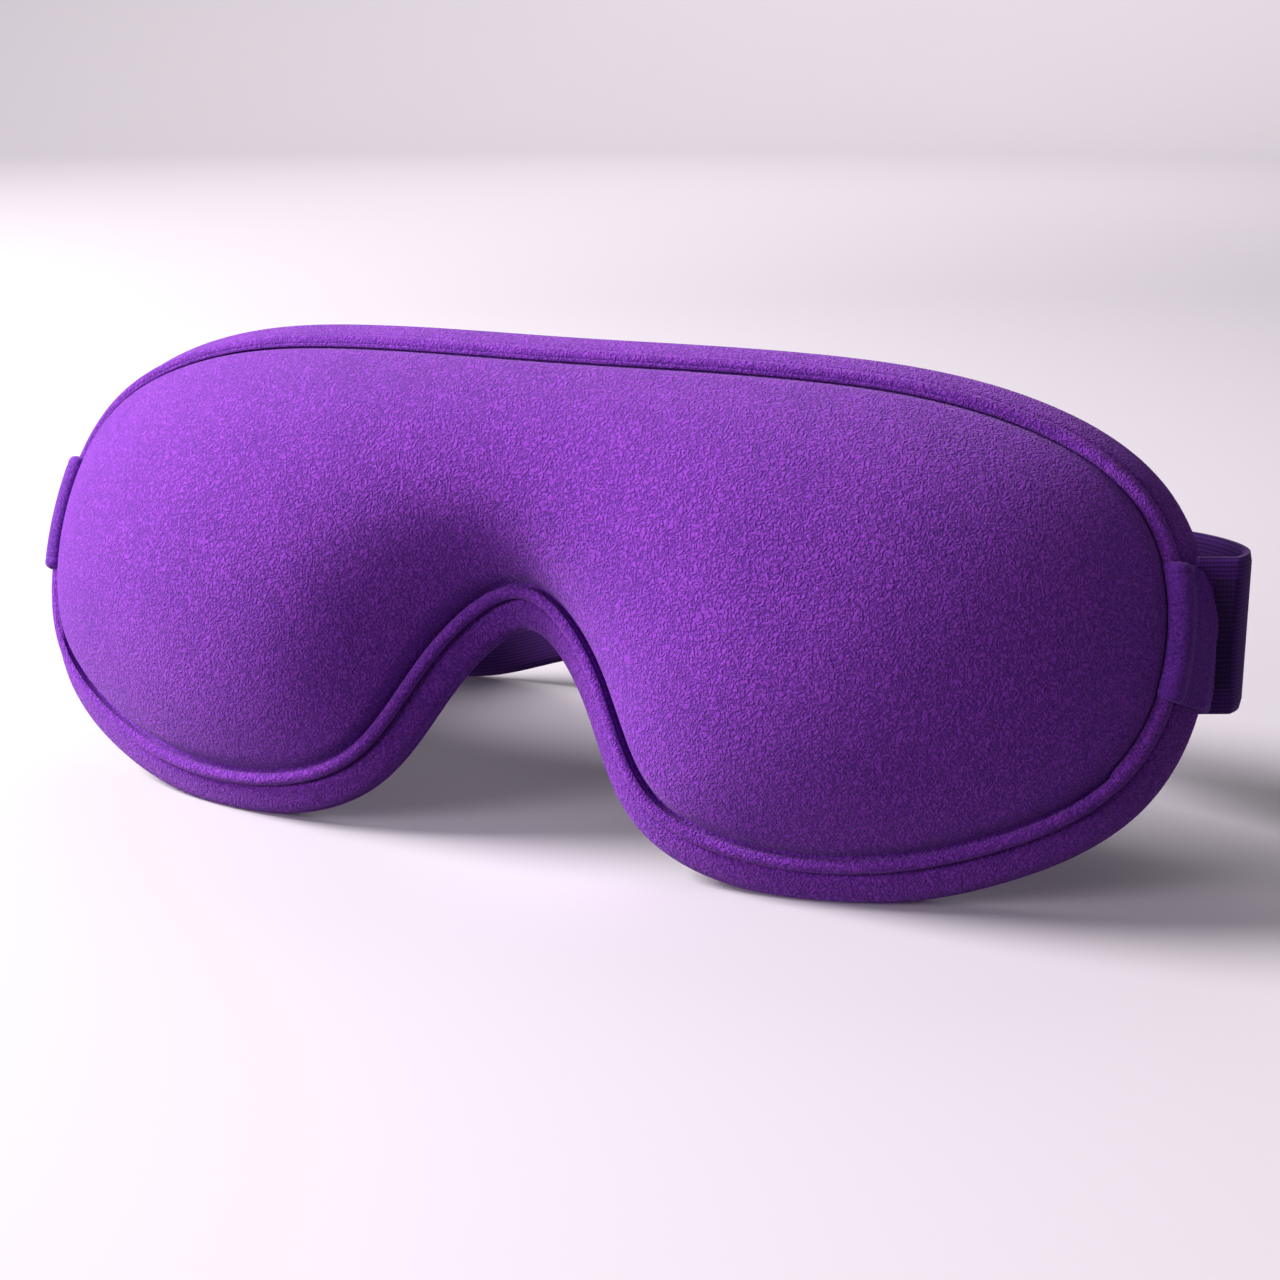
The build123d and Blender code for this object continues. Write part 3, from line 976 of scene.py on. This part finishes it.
tucked = (left_line[:, 0] < -100) & (left_line[:, 1] < LEFT_ROOT[1])
left_feet[tucked] = np.interp(LEFT_ROOT[0], feet_line[:, 0], feet_line[:, 1])
split = int(np.argmin(np.linalg.norm(left_line - LEFT_JOIN, axis=1)))


def left_part(name, part):
    """One of the two lengths of the left strap, which meet at the split."""
    return add_band(name, left_line[part], left_feet[part], STRAP_WIDE, STRAP_THICK, LEFT_SEWN)


band = left_part("left_band", slice(None, split + 1))
dress(band, "elastic", None, "left_strap")
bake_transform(band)
root_band = left_part("left_band_root", slice(split, None))
dress(root_band, "elastic", None)
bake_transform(root_band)

# ---------------------------------------------------------------- floor, light and camera


def plain(name, colour, rough):
    nodes = Nodes(name)
    place = nodes.add("ShaderNodeTexCoord").outputs["Object"]
    soft = nodes.noise(3.0, 2, 0.0, place)
    darker = tuple(0.985 * c for c in colour)
    nodes.link(nodes.ramp(soft, [(0.3, darker), (0.7, colour)]), "Base Color")
    nodes.shader.inputs["Roughness"].default_value = rough
    nodes.shader.inputs["Specular IOR Level"].default_value = 0.2
    return nodes.material


def studio_bowl():
    """A round floor that turns up smoothly into a backdrop on every side."""
    flat, radius, top, around = 1.7, 0.8, 1.6, 96
    profile = [(0.02, 0.0), (0.6, 0.0), (flat, 0.0)]
    profile += [
        (flat + radius * sin(a), radius * (1 - cos(a))) for a in np.linspace(0.05, pi / 2, 24)
    ]
    profile += [(flat + radius, radius + top)]
    vertices = []
    for reach, level in profile:
        for turn in np.linspace(0, 2 * pi, around, endpoint=False):
            vertices.append((reach * cos(turn), reach * sin(turn), level))
    faces = ring_faces(len(profile), around)
    faces.append(tuple(range(around)))
    bowl = add_mesh("studio_floor", vertices, faces)
    bowl.data.materials.append(plain("pale_sweep", (0.68, 0.638, 0.672), 0.75))
    bowl.visible_diffuse = False


studio_bowl()


def area_light(name, place, target, size, power, colour):
    data = bpy.data.lights.new(name, "AREA")
    data.shape = "DISK"
    data.size = size
    data.energy = power
    data.color = colour
    lamp = bpy.data.objects.new(name, data)
    lamp.location = place
    lamp.rotation_euler = (Vector(target) - Vector(place)).to_track_quat("-Z", "Y").to_euler()
    bpy.context.scene.collection.objects.link(lamp)


area_light("key", (-1.25, -0.32, 0.86), (0, 0, 0.03), 0.62, 47.0, (1.0, 0.97, 1.0))
area_light("low_fill", (-0.8, -1.0, 0.42), (-0.04, -0.04, 0.03), 0.6, 9.5, (0.94, 0.88, 1.0))
area_light("back", (-0.45, 1.1, 1.1), (0, 0, 0.0), 1.1, 4.5, (0.97, 0.94, 1.0))
area_light("backdrop", (-0.2, 1.2, 1.5), (-1.1, 2.6, 1.0), 1.0, 25.0, (1.0, 0.97, 1.0))

world = bpy.data.worlds.new("studio")
world.use_nodes = True
background = world.node_tree.nodes["Background"]
background.inputs["Color"].default_value = (0.96, 0.92, 1.0, 1)
background.inputs["Strength"].default_value = 0.17
bpy.context.scene.world = world
bpy.context.scene.view_settings.view_transform = "Standard"

camera_data = bpy.data.cameras.new("camera")
camera_data.lens = 64.7
camera_data.sensor_width = 36.0
camera = bpy.data.objects.new("camera", camera_data)
turn, tilt, reach = radians(23.55), radians(15.92), 430.0
target = np.array([PAD_ORIGIN[0] + 6.72, PAD_ORIGIN[1] + 37.14, 27.1])
stand = np.array([sin(turn) * cos(tilt), -cos(turn) * cos(tilt), sin(tilt)])
camera.location = (target + reach * stand) * MM
camera.rotation_euler = Vector(-stand).to_track_quat("-Z", "Y").to_euler()
bpy.context.scene.collection.objects.link(camera)
bpy.context.scene.camera = camera
